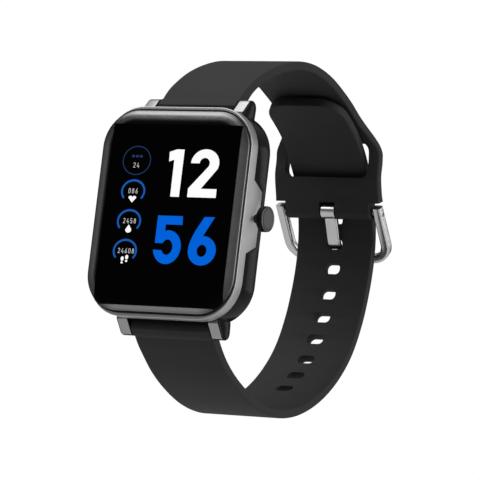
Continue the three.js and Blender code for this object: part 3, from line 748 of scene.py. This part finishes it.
def build_back():
    """The back cover with its four screw wells, and the island that holds the sensor window."""
    low, high = node_box("back_cover")
    width = high.x - low.x
    height = high.z - low.z
    corner = INNER[2] - 0.2
    rounded = round_corner(0, COVER_BACK, 0.25, into=-1)[::-1]
    profile = [(0, low.y)] + rounded + [(1.6, COVER_BACK)]
    cover = link_piece("rear_cover", plate("rear_cover", width, height, corner, profile), "case",
                       [PLASTIC])
    island_profile = [(0, low.y + 0.1), (0, COVER_BACK - 0.02), (0.05, COVER_BACK + 0.14),
                      (0.22, high.y - 0.05), (0.5, high.y)]
    island = link_piece("rear_island", plate("rear_island", 25, 31, 6, island_profile), "case",
                        [PLASTIC])
    screws = [(SCREW_PLACE[0] * sx, SCREW_PLACE[1] * sz) for sx in (-1, 1) for sz in (-1, 1)]
    opening = [(WINDOW_RADIUS + 0.2, -3), (WINDOW_RADIUS + 0.2, 1)]
    wells = [cutter(turned("cutter", [(1.6, -1.2), (1.6, 1)], place, axis="y", sides=40))
             for place in screws]
    bores = [cutter(turned("cutter", [(0.85, -3), (0.85, 1)], place, axis="y", sides=24))
             for place in screws]
    window = cutter(turned("cutter", opening, (0, 0), axis="y", sides=96))
    carve(cover, wells + bores + [window], width=0.08)
    holes = [cutter(turned("cutter", [(1.1, -3), (1.1, 1)], place, axis="y", sides=32))
             for place in CONTACT_PLACES]
    window = cutter(turned("cutter", opening, (0, 0), axis="y", sides=96))
    carve(island, holes + [window], width=0.06)
    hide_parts("back_cover")
    build_sensor_window()


def build_sensor_window():
    low, high = node_box("sensor_window")
    flange = WINDOW_RADIUS + 1.2
    profile = [(flange, low.y), (flange, -1.72), (WINDOW_RADIUS, -1.72),
               (WINDOW_RADIUS, high.y - 0.35), (WINDOW_RADIUS - 0.07, high.y - 0.15),
               (WINDOW_RADIUS - 0.2, high.y - 0.04), (WINDOW_RADIUS - 0.4, high.y),
               (WINDOW_RADIUS - 1, high.y)]
    mesh = turned("sensor_lens", profile, (0, 0), axis="y", sides=96)
    window = link_piece("sensor_lens", mesh, "case", [SENSOR_GLASS], sharp=40)
    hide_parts("sensor_window")


# ---------------------------------------------------------------- straps


def smooth_line(points, count):
    """Evenly spaced (y, z) points and directions along a centripetal curve through the points."""
    knots = [Vector(p) for p in points]
    knots = [knots[0] * 2 - knots[1]] + knots + [knots[-1] * 2 - knots[-2]]
    dense = []
    for a, b, c, d in zip(knots, knots[1:], knots[2:], knots[3:]):
        t0 = 0.0
        t1 = t0 + sqrt((b - a).length)
        t2 = t1 + sqrt((c - b).length)
        t3 = t2 + sqrt((d - c).length)
        for k in range(40):
            t = t1 + (t2 - t1) * k / 40
            p1 = a * ((t1 - t) / (t1 - t0)) + b * ((t - t0) / (t1 - t0))
            p2 = b * ((t2 - t) / (t2 - t1)) + c * ((t - t1) / (t2 - t1))
            p3 = c * ((t3 - t) / (t3 - t2)) + d * ((t - t2) / (t3 - t2))
            q1 = p1 * ((t2 - t) / (t2 - t0)) + p2 * ((t - t0) / (t2 - t0))
            q2 = p2 * ((t3 - t) / (t3 - t1)) + p3 * ((t - t1) / (t3 - t1))
            dense.append(q1 * ((t2 - t) / (t2 - t1)) + q2 * ((t - t1) / (t2 - t1)))
    dense.append(knots[-2])
    reach = [0.0]
    for a, b in zip(dense, dense[1:]):
        reach.append(reach[-1] + (b - a).length)
    line = []
    j = 0
    for i in range(count + 1):
        want = reach[-1] * i / count
        while j < len(reach) - 2 and reach[j + 1] < want:
            j += 1
        share = (want - reach[j]) / (reach[j + 1] - reach[j])
        place = dense[j].lerp(dense[j + 1], share)
        along = (dense[min(j + 3, len(dense) - 1)] - dense[max(j - 2, 0)]).normalized()
        line.append((want, place, along))
    return line, reach[-1]


def strap_section(place, along, width, thick, edge=STRAP_EDGE):
    """One cross-section of a strap: a rectangle with round corners, square to its line."""
    normal = Vector((-along[1], along[0]))
    half = thick / 2
    edge = min(edge, half * 0.95)
    ring = []
    for sx, sn in ((1, 1), (-1, 1), (-1, -1), (1, -1)):
        for k in range(5):
            angle = atan2(sn, sx) - pi / 4 + k / 4 * pi / 2
            x = sx * (width / 2 - edge) + edge * cos(angle)
            n = sn * (half - edge) + edge * sin(angle)
            spot = place + normal * n
            ring.append((x, spot[0], spot[1]))
    return ring


def eased(value):
    value = min(1, max(0, value))
    return value * value * (3 - 2 * value)


def root_thickness(s):
    """The strap is a barrel around its spring bar and thins out behind it."""
    if s < 0:
        return 2 * min(ROOT_RADIUS, sqrt(max(0.01, ROOT_REACH ** 2 - s ** 2)))
    barrel = 2 * sqrt(max(0.02, ROOT_RADIUS ** 2 - min(s, ROOT_RADIUS) ** 2))
    return max(barrel, BAND_THICK + 0.75 * (1 - eased(s / 9)))


def root_sections(line, width):
    """The round end of a strap, on the far side of its spring bar."""
    place, along = line[0][1], line[0][2]
    rings = []
    for k in range(12, 0, -1):
        back = ROOT_REACH * sin(k / 12 * pi / 2)
        rings.append(strap_section(place - along * back, along, width, root_thickness(-back)))
    return rings


CLASP_FROM = 45
FLARE_FROM = 33.8
STEP_HEIGHT = 15.4
END_RADIUS = 1.75
PIN_BORE = 1.05
SLOT_SIZE = (22.0, 8.2, 2.0)
SLOT_MIDDLE = 24.5
NOTCH_HALF = 2.1
NOTCH_TOP = 14.9
HOLE_SIZE = (4.2, 2.5, 1.1)
HOLES_BEYOND = 1
HOLES_LEFT = 7
TAIL_CORNER = 6.0


def build_short_strap():
    """Widens past the bend to hold the slot, then steps in to the barrel for the buckle's pin."""
    line, length = smooth_line(SHORT_LINE, 260)
    rings = root_sections(line, BAND_WIDTH)
    stepped = False
    for s, place, along in line:
        width = BAND_WIDTH
        if place[0] > CLASP_FROM:
            width += (FLARE_WIDTH - BAND_WIDTH) * eased((FLARE_FROM - place[1]) / 8)
        thick = root_thickness(s)
        left = length - s
        if left < 4:
            thick = max(thick, 2 * sqrt(END_RADIUS ** 2 - min(left, END_RADIUS) ** 2),
                        BAND_THICK + 0.9 * eased((4 - left) / 3))
        if place[0] > CLASP_FROM and place[1] < STEP_HEIGHT:
            if not stepped:
                rings.append(strap_section(place, along, width, thick))
                stepped = True
            width = END_WIDTH
        rings.append(strap_section(place, along, width, thick))
    place, along = line[-1][1], line[-1][2]
    for k in range(1, 13):
        on = END_RADIUS * sin(k / 12 * pi / 2)
        thick = 2 * sqrt(max(0.02, END_RADIUS ** 2 - on ** 2))
        rings.append(strap_section(place + along * on, along, END_WIDTH, thick))
    strap = link_piece("strap_short", loft("strap_short", rings), "short_band", [SILICONE])
    slot_shape = [p for p, _ in rounded_outline(*SLOT_SIZE, steps=8)]
    slot = cutter(loft("cutter", [[(x, y, z + SLOT_MIDDLE) for x, z in slot_shape]
                                  for y in (50, 64)]))
    bore = cutter(turned("cutter", [(PIN_BORE, -20), (PIN_BORE, 20)], HINGE, sides=32))
    root = cutter(turned("cutter", [(BAR_BORE, -20), (BAR_BORE, 20)], BAR, sides=32))
    notch = box_cutter(-NOTCH_HALF, NOTCH_HALF, 56, 66, 9, NOTCH_TOP)
    carve(strap, [slot, bore, root, notch, lever_slot(1)], width=0.22, segments=3)
    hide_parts("short_strap")


def lever_slot(end):
    """The opening for the quick release lever, on the wrist side of a strap's thick end."""
    turn = Matrix.Rotation(radians(-40 * end), 4, "X")
    corners = [(5.1, -0.72), (8.2, -0.72), (8.2, 0.72), (5.1, 0.72)]
    rings = []
    for y in (0.3, 4):
        ring = []
        for x, z in corners:
            spot = turn @ Vector((x, y, z))
            ring.append((spot.x, spot.y + BAR[0], spot.z + end * BAR[1]))
        rings.append(ring)
    return cutter(loft("cutter", rings))


def build_long_strap():
    """A band of one width with a round tail and a row of holes, one of them on the tongue."""
    line, length = smooth_line(LONG_LINE, 420)
    rings = root_sections(line, BAND_WIDTH)
    for s, place, along in line:
        width = BAND_WIDTH
        left = length - s
        if left < TAIL_CORNER:
            width -= 2 * (TAIL_CORNER - sqrt(TAIL_CORNER ** 2 - (TAIL_CORNER - left) ** 2))
        rings.append(strap_section(place, along, width, root_thickness(s)))
    strap = link_piece("strap_long", loft("strap_long", rings), "long_band", [SILICONE])
    start = min(line, key=lambda item: hypot(item[1][0] - TONGUE_HOLE[0],
                                             item[1][1] - TONGUE_HOLE[1]))[0]
    bore = turned("cutter", [(BAR_BORE, -20), (BAR_BORE, 20)], (BAR[0], -BAR[1]), sides=32)
    cutters = [cutter(bore), lever_slot(-1)]
    for k in range(-HOLES_BEYOND, HOLES_LEFT + 1):
        s, place, along = min(line, key=lambda item: abs(item[0] - (start - k * HOLE_PITCH)))
        normal = Vector((-along[1], along[0]))
        shape = [p for p, _ in rounded_outline(*HOLE_SIZE, steps=8)]
        hole = []
        for depth in (-3, 3):
            hole.append([(x, place[0] + along[0] * z + normal[0] * depth,
                          place[1] + along[1] * z + normal[1] * depth) for x, z in shape])
        cutters.append(cutter(loft("cutter", hole)))
    carve(strap, cutters, width=0.2, segments=3)
    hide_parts("long_strap")


# ---------------------------------------------------------------- clasp

BUCKLE_LEAN = radians(39.5)
BUCKLE_HALF = 14.0
BUCKLE_REACH = 13.3
BUCKLE_ARM = 2.3
BUCKLE_BAR = 2.1
BUCKLE_THICK = 2.0
BUCKLE_BEND = 4.1
BUCKLE_EDGE = 0.6
TONGUE_LINE = [(61.2, 12.0), (62.2, 10.2), (62.9, 8.8), (63.7, 7.3), (64.5, 6.05), (65.5, 5.5),
               (66.9, 5.4), (69.9, 5.35)]
TONGUE_WIDTH = 3.2
TONGUE_THICK = 1.1
BARREL_RADIUS = 1.75
BARREL_HALF = 1.78


def on_hinge(x, along, out):
    """A point of the buckle. along runs from the pin to the crossbar, out is off the wrist."""
    y = HINGE[0] + along * sin(BUCKLE_LEAN) + out * cos(BUCKLE_LEAN)
    z = HINGE[1] - along * cos(BUCKLE_LEAN) + out * sin(BUCKLE_LEAN)
    return (x, y, z)


def build_buckle():
    """One bar of rounded section, bent into a U."""
    bend = BUCKLE_BEND
    middle = BUCKLE_HALF - BUCKLE_ARM / 2
    low = BUCKLE_REACH - BUCKLE_BAR / 2
    path = [((middle, -1.5), (0, 1)), ((middle, low - bend), (0, 1))]
    for k in range(1, 13):
        angle = k / 12 * pi / 2
        path.append(((middle - bend + bend * cos(angle), low - bend + bend * sin(angle)),
                     (-sin(angle), cos(angle))))
    path += [((-p[0], p[1]), (d[0], -d[1])) for p, d in reversed(path)]
    rings = []
    for place, along in path:
        wide = BUCKLE_ARM if abs(place[0]) / middle > 0.95 else BUCKLE_BAR
        side = (-along[1], along[0])
        ring = []
        for sx, sn in ((1, 1), (-1, 1), (-1, -1), (1, -1)):
            for j in range(5):
                angle = atan2(sn, sx) - pi / 4 + j / 4 * pi / 2
                a = sx * (wide / 2 - BUCKLE_EDGE) + BUCKLE_EDGE * cos(angle)
                b = sn * (BUCKLE_THICK / 2 - BUCKLE_EDGE) + BUCKLE_EDGE * sin(angle)
                ring.append(on_hinge(place[0] + side[0] * a, place[1] + side[1] * a, b))
        rings.append(ring)
    buckle = link_piece("buckle_bow", loft("buckle_bow", rings), "buckle", [BUCKLE_STEEL])
    radius = HINGE_RADIUS + 0.1
    bore = cutter(turned("cutter", [(radius, -20), (radius, 20)], HINGE, sides=32))
    carve(buckle, [bore])
    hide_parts("buckle_frame")


def build_tongue():
    """A strip rolled around the pin, with a flat shank and a bent tip."""
    line, length = smooth_line(TONGUE_LINE, 60)
    rings = []
    for s, place, along in line:
        left = length - s
        taper = TONGUE_WIDTH - 0.9 * eased((2.2 - left) / 2.2)
        thick = TONGUE_THICK - 0.3 * eased((6 - left) / 2)
        rings.append(strap_section(place, along, taper, thick, 0.3))
    shank = link_piece("tongue_shank", loft("tongue_shank", rings), "tongue", [BUCKLE_STEEL])
    outer, half, edge = BARREL_RADIUS, BARREL_HALF, 0.1
    profile = [(PIN_BORE, -half), (outer - edge, -half), (outer, edge - half),
               (outer, half - edge), (outer - edge, half), (PIN_BORE, half)]
    rings = []
    for k in range(48):
        angle = 2 * pi * k / 48
        rings.append([(x, HINGE[0] + r * cos(angle), HINGE[1] + r * sin(angle))
                      for r, x in profile])
    barrel = link_piece("tongue_barrel", loft("tongue_barrel", rings, loop=True), "tongue",
                        [BUCKLE_STEEL])
    bore = cutter(turned("cutter", [(PIN_BORE, -5), (PIN_BORE, 5)], HINGE, sides=48))
    carve(shank, [bore])
    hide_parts("buckle_tongue")


# ---------------------------------------------------------------- display

INK_DEPTH = GLASS_FRONT - 0.012
LARGE_HEIGHT = 10.55
HOURS_LOW = 3.1
MINUTES_LOW = -11.65
SMALL_HEIGHT = 1.25
SMALL_WIDTH = 0.62
SMALL_ADVANCE = 0.9
SMALL_PEN = 0.12
RING_X = -8.95


def arc(cx, cz, rx, rz, start, end, steps=18):
    points = []
    for k in range(steps + 1):
        angle = radians(start + (end - start) * k / steps)
        points.append((cx + rx * cos(angle), cz + rz * sin(angle)))
    return points


# Outlines of the large digits, in a box 0.68 wide and 1 high. A second outline is a hole.
LARGE_DIGITS = {
    "1": [[(0, 0.93), (0.17, 0.985), (0.35, 0.985), (0.345, 0), (0.135, 0), (0.13, 0.77),
           (0.01, 0.73)]],
    "2": [arc(0.335, 0.706, 0.335, 0.294, 180, -22, 28)
          + [(0.3, 0.18), (0.68, 0.18), (0.68, 0), (0, 0), (0, 0.18)]
          + arc(0.325, 0.706, 0.12, 0.115, -40, 180, 20)],
    "5": [[(0.035, 0.43), (0.035, 1), (0.63, 1), (0.645, 0.82), (0.245, 0.82), (0.25, 0.665)]
          + arc(0.335, 0.35, 0.33, 0.35, 100, -170, 36)
          + arc(0.335, 0.35, 0.13, 0.16, -155, 150, 28)],
    "6": [[(0.305, 1), (0.55, 1), (0.315, 0.6)] + arc(0.33, 0.303, 0.33, 0.303, 85, -180, 36)
          + [(0.005, 0.4), (0.04, 0.52), (0.12, 0.7)],
          arc(0.325, 0.303, 0.115, 0.125, 0, 345, 23)],
}

# Pen strokes of the small digits, in a box of SMALL_WIDTH and 1 high.
SMALL_DIGITS = {
    "0": [arc(0.31, 0.69, 0.21, 0.21, 0, 180) + arc(0.31, 0.31, 0.21, 0.21, 180, 360)
          + [(0.52, 0.69)]],
    "2": [arc(0.31, 0.69, 0.21, 0.21, 170, -25) + [(0.11, 0.1), (0.56, 0.1)]],
    "4": [[(0.36, 0.9), (0.1, 0.3), (0.58, 0.3)], [(0.45, 0.5), (0.45, 0.0)]],
    "5": [[(0.53, 0.9), (0.15, 0.9), (0.13, 0.5)] + arc(0.31, 0.33, 0.23, 0.23, 140, -150)],
    "6": [[(0.46, 0.98), (0.14, 0.45)] + arc(0.31, 0.31, 0.21, 0.21, 150, 510)],
    "8": [arc(0.31, 0.72, 0.17, 0.17, -90, 270), arc(0.31, 0.32, 0.22, 0.22, 90, 450)],
}


def filled(loops):
    """Flat faces inside closed (x, z) outlines, as vertices and faces.

    An outline inside another one is a hole."""
    curve = bpy.data.curves.new("outline", "CURVE")
    curve.dimensions = "2D"
    curve.fill_mode = "BOTH"
    for loop in loops:
        spline = curve.splines.new("POLY")
        spline.points.add(len(loop) - 1)
        for point, (x, z) in zip(spline.points, loop):
            point.co = (x, z, 0, 1)
        spline.use_cyclic_u = True
    shape = bpy.data.objects.new("outline", curve)
    mesh = bpy.data.meshes.new_from_object(shape)
    verts = [(v.co.x, v.co.y) for v in mesh.vertices]
    faces = [tuple(face.vertices) for face in mesh.polygons]
    bpy.data.objects.remove(shape)
    bpy.data.curves.remove(curve)
    bpy.data.meshes.remove(mesh)
    return verts, faces


def pen_stroke(points, width):
    """A flat ribbon along a line of (x, z) points, as vertices and faces."""
    verts = []
    faces = []
    for i, p in enumerate(points):
        before = points[max(0, i - 1)]
        after = points[min(len(points) - 1, i + 1)]
        first = Vector((p[0] - before[0], p[1] - before[1]))
        second = Vector((after[0] - p[0], after[1] - p[1]))
        first = first.normalized() if first.length > 1e-9 else second.normalized()
        second = second.normalized() if second.length > 1e-9 else first
        along = (first + second).normalized()
        side = Vector((-along[1], along[0]))
        reach = width / 2 / max(0.5, along.dot(first))
        verts.append((p[0] + side[0] * reach, p[1] + side[1] * reach))
        verts.append((p[0] - side[0] * reach, p[1] - side[1] * reach))
        if i:
            faces.append((2 * i - 2, 2 * i - 1, 2 * i + 1, 2 * i))
    return verts, faces


class Drawing:
    """Flat lit shapes on the front of the display, gathered into one piece."""

    def __init__(self):
        self.verts = []
        self.faces = []

    def add(self, verts, faces):
        start = len(self.verts)
        self.verts += [(x, INK_DEPTH, z) for x, z in verts]
        self.faces += [tuple(start + i for i in face) for face in faces]

    def digit(self, name, left, low):
        self.add(*filled([[(left + x * LARGE_HEIGHT, low + z * LARGE_HEIGHT) for x, z in loop]
                          for loop in LARGE_DIGITS[name]]))

    def number(self, text, middle, low):
        left = middle - (SMALL_ADVANCE * (len(text) - 1) + SMALL_WIDTH) / 2
        for i, digit in enumerate(text):
            for line in SMALL_DIGITS[digit]:
                points = [(left + i * SMALL_ADVANCE + x, low + z * SMALL_HEIGHT) for x, z in line]
                self.add(*pen_stroke(points, SMALL_PEN))

    def piece(self, name, material):
        mesh = bpy.data.meshes.new(name)
        mesh.from_pydata([tuple(c * MM for c in v) for v in self.verts], [], self.faces)
        bm = bmesh.new()
        bm.from_mesh(mesh)
        for face in bm.faces:
            face.normal_update()
            if face.normal.y > 0:
                face.normal_flip()
        bm.to_mesh(mesh)
        bm.free()
        ink = link_piece(name, mesh, "case", [material])


def build_display():
    hours = Drawing()
    hours.digit("1", -0.8, HOURS_LOW)
    hours.digit("2", 4.9, HOURS_LOW)
    hours.piece("digits_hours", INK_WHITE)
    minutes = Drawing()
    minutes.digit("5", -2.2, MINUTES_LOW)
    minutes.digit("6", 6.7, MINUTES_LOW)
    minutes.piece("digits_minutes", INK_BLUE)
    rings = Drawing()
    rings.add(*pen_stroke(arc(RING_X, 10.85, 3.5, 3.12, 0, 360, steps=72), 0.2))
    rings.piece("date_ring", INK_DIM)
    arcs = Drawing()
    for z in (4.05, -2.55, -9.1):
        x = RING_X - 0.02 * (4 - z)
        arcs.add(*pen_stroke(arc(x, z, 2.85, 2.4, -40, 220, steps=60), 0.46))
    arcs.piece("dial_arcs", INK_ARC)
    small = Drawing()
    for text, z in (("24", 9.2), ("086", 3.5), ("2458", -3.1), ("24608", -9.7)):
        small.number(text, RING_X, z)
    small.piece("dial_numbers", INK_GREY)
    day = Drawing()
    for i in range(3):
        day.add(*pen_stroke([(RING_X - 1.35 + i, 11.8), (RING_X - 0.65 + i, 11.8)], 0.5))
    day.piece("day_marks", INK_DIM)
    build_icons()


def build_icons():
    """A heart, a drop and a pair of soles."""
    icons = Drawing()
    heart = []
    for x in (-9.46, -8.46):
        heart += arc(x, 2.6, 0.5, 0.42, 180, 0, steps=10)
    icons.add(*filled([heart + [(-8.96, 1.55)]]))
    drop = arc(-9.0, -4.5, 0.75, 0.6, 140, 400, steps=20)
    icons.add(*filled([drop + [(-8.8, -3.55), (-9.0, -3.3), (-9.2, -3.55)]]))
    for side in (-1, 1):
        x = -9.1 + side * 0.55
        z = side * 0.18
        icons.add(*filled([arc(x, -10.65 + z, 0.4, 0.5, 0, 345, steps=15)]))
        icons.add(*filled([arc(x - 0.03, -11.5 + z, 0.3, 0.24, 0, 330, steps=11)]))
    icons.piece("dial_icons", INK_WHITE)


# ---------------------------------------------------------------- build

scene.view_settings.view_transform = "Standard"
add_world()
add_backdrop()
add_camera()
add_softbox("key", (-0.35, -0.45, 1.0), (1.25, 1.25), 8.5)
add_softbox("right", (1.1, 0.25, 0.15), (0.7, 1.2), 5.0)
add_softbox("rear", (0.6, 1.05, 0.16), (0.35, 0.5), 0.35)
add_floor()
finish_cad_nodes()
build_glass()
build_frame()
build_lower_case()
build_crown()
build_back()
build_short_strap()
build_long_strap()
build_buckle()
build_tongue()
build_display()
